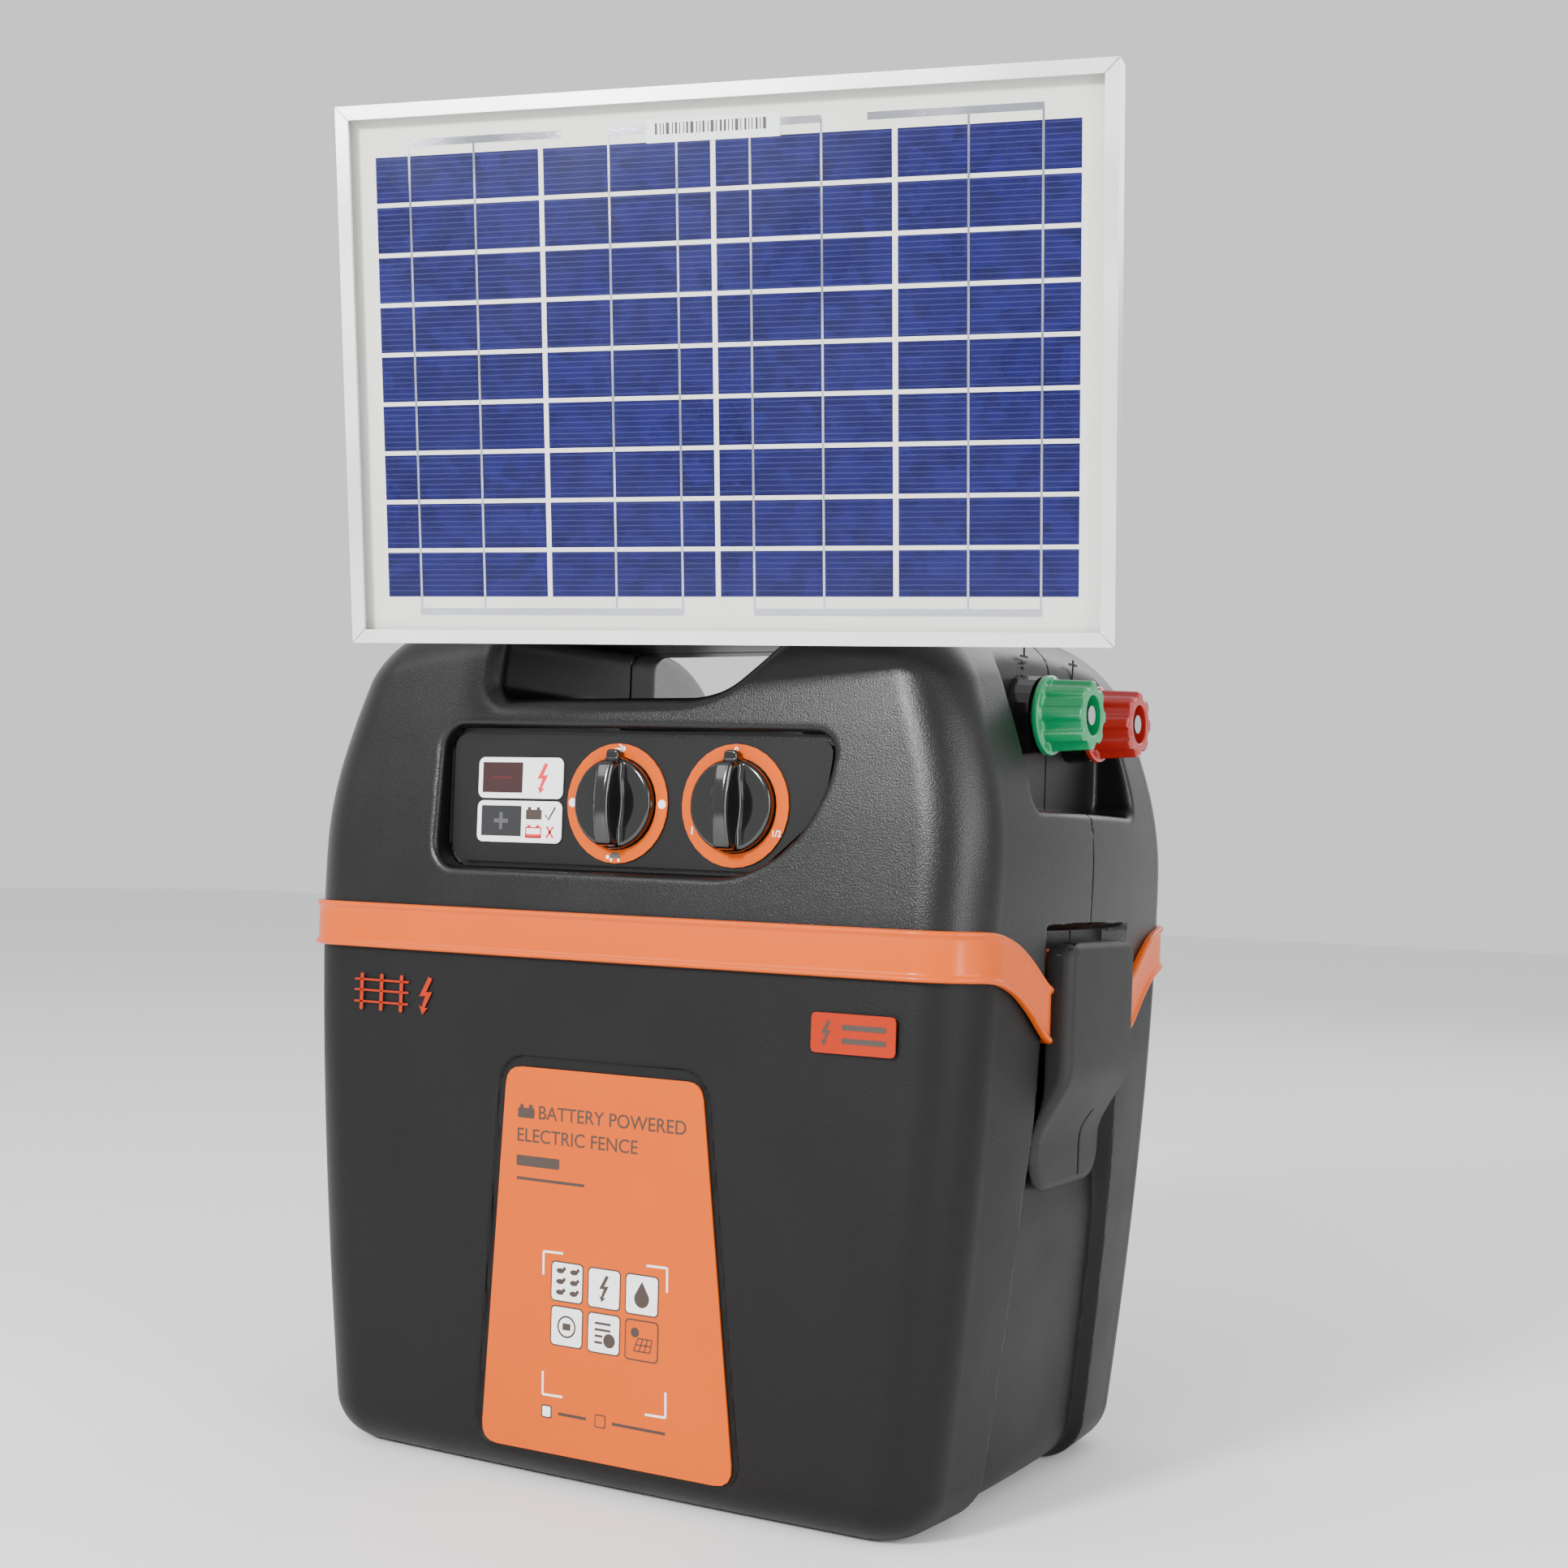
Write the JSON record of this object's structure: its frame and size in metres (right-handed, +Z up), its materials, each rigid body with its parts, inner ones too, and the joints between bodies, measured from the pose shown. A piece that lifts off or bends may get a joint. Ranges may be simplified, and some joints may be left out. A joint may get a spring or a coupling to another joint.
{
  "type": "fence energizer",
  "caption": "Portable battery-box fence energizer with lift-off lid, side latches, dial controls, screw terminals and a tilting solar panel on a swivel bracket.",
  "frame": {"origin": "centre of the tub's flat bottom", "axes": "+X to the right of the control side (towards the wire terminals), -Y out of the control side, +Z up"},
  "size_m": [0.3985, 0.329, 0.5549],
  "materials": {
    "tub_plastic": "fine leather grain, satin",
    "lid_plastic": "fine texture, semi-gloss",
    "orange_plastic": "glossy moulded plastic",
    "label_film": "printed polyester film",
    "badge_film": "printed polyester film",
    "latch_rubber": "soft-touch matt",
    "gloss_black": "polished black plastic",
    "plate_film": "textured membrane film",
    "white_print": "white print",
    "dark_lens": "dark red window",
    "green_plastic": "glossy moulded plastic",
    "red_plastic": "glossy moulded plastic",
    "steel": "zinc plated",
    "aluminium": "satin anodised",
    "solar_cells": "blue polycrystalline cells behind glass",
    "panel_glass": "clear tempered glass",
    "battery_case": "moulded case",
    "lead": "dull lead",
    "red_marker": "red marked post",
    "circuit": "green solder mask",
    "dark_inside": "plain black plastic",
    "can": "sleeved can"
  },
  "bodies": {
    "tub": {"tub": "tub_plastic", "front_label": "label_film", "rating_badge": "badge_film", "battery": "battery_case", "battery_post_pos": "red_marker", "battery_post_neg": "lead"},
    "lid": {"housing_front": "lid_plastic", "housing_rear": "lid_plastic", "band_ring": "orange_plastic", "module_floor": "dark_inside", "floor_screw_1": "steel", "floor_screw_2": "steel", "floor_screw_3": "steel", "floor_screw_4": "steel", "battery_lead_socket": "dark_inside", "circuit_board": "circuit", "mode_switch": "can", "power_switch": "can", "pulse_transformer": "steel", "storage_capacitor_a": "can", "storage_capacitor_b": "can", "control_plate": "plate_film", "indicator_label": "white_print", "pulse_lens": "dark_lens", "battery_lens": "dark_lens", "mode_dial_ring": "orange_plastic", "power_dial_ring": "orange_plastic", "earth_base": "gloss_black", "earth_stud": "steel", "fence_base": "gloss_black", "fence_stud": "steel", "solar_socket": "dark_inside", "latch_pin_right": "steel", "latch_pin_left": "steel", "bracket_mast": "aluminium", "bracket_screw_1": "steel", "bracket_screw_2": "steel"},
    "mode_selector": {"mode_knob": "gloss_black"},
    "power_selector": {"power_knob": "gloss_black"},
    "earth_travel": {"earth_washer": "steel"},
    "earth_terminal": {"earth_knob": "green_plastic"},
    "fence_travel": {"fence_washer": "steel"},
    "fence_terminal": {"fence_knob": "red_plastic"},
    "right_latch": {"latch_right": "latch_rubber"},
    "left_latch": {"latch_left": "latch_rubber"},
    "arm": {"swivel_arm": "aluminium", "tilt_pin": "steel"},
    "panel": {"panel_lug": "aluminium", "frame_top": "aluminium", "frame_bottom": "aluminium", "frame_right": "aluminium", "frame_left": "aluminium", "panel_glass": "panel_glass", "cell_laminate": "solar_cells", "junction_box": "dark_inside", "cable_gland": "gloss_black"}
  },
  "joints": [
    {"name": "lid_lift", "type": "slide", "parent": "tub", "child": "lid", "axis": [0, 0, 1], "range_m": [0, 0.25]},
    {"name": "mode_turn", "type": "hinge", "parent": "lid", "child": "mode_selector", "pos_m": [-0.0023, -0.108, 0.2828], "axis": [0, -1, 0], "range_deg": [-180, 90]},
    {"name": "power_turn", "type": "hinge", "parent": "lid", "child": "power_selector", "pos_m": [0.0547, -0.108, 0.2828], "axis": [0, -1, 0], "range_deg": [-120, 120]},
    {"name": "earth_slide", "type": "slide", "parent": "lid", "child": "earth_travel", "axis": [1, 0, 0], "range_m": [0, 0.005]},
    {"name": "earth_screw", "type": "hinge", "parent": "earth_travel", "child": "earth_terminal", "pos_m": [0.165, -0.027, 0.3245], "axis": [1, 0, 0], "range_deg": [0, 1440]},
    {"name": "fence_slide", "type": "slide", "parent": "lid", "child": "fence_travel", "axis": [1, 0, 0], "range_m": [0, 0.005]},
    {"name": "fence_screw", "type": "hinge", "parent": "fence_travel", "child": "fence_terminal", "pos_m": [0.165, 0.027, 0.3245], "axis": [1, 0, 0], "range_deg": [0, 1440]},
    {"name": "right_latch_swing", "type": "hinge", "parent": "lid", "child": "right_latch", "pos_m": [0.169, 0, 0.226], "axis": [0, -1, 0], "range_deg": [0, 100]},
    {"name": "left_latch_swing", "type": "hinge", "parent": "lid", "child": "left_latch", "pos_m": [-0.169, 0, 0.226], "axis": [0, 1, 0], "range_deg": [0, 100]},
    {"name": "panel_swivel", "type": "hinge", "parent": "lid", "child": "arm", "pos_m": [0.03918, -0.03886, 0.45], "axis": [0, 0, 1], "range_deg": [-22, 0]},
    {"name": "panel_tilt", "type": "hinge", "parent": "arm", "child": "panel", "pos_m": [0.06132, -0.1261, 0.453], "axis": [-0.9693, -0.246, 0], "range_deg": [0, 75]}
  ],
  "couplings": [
    {"joint": "earth_slide", "follows": "earth_screw", "m_per_rad": 0.00019894},
    {"joint": "fence_slide", "follows": "fence_screw", "m_per_rad": 0.00019894}
  ]
}
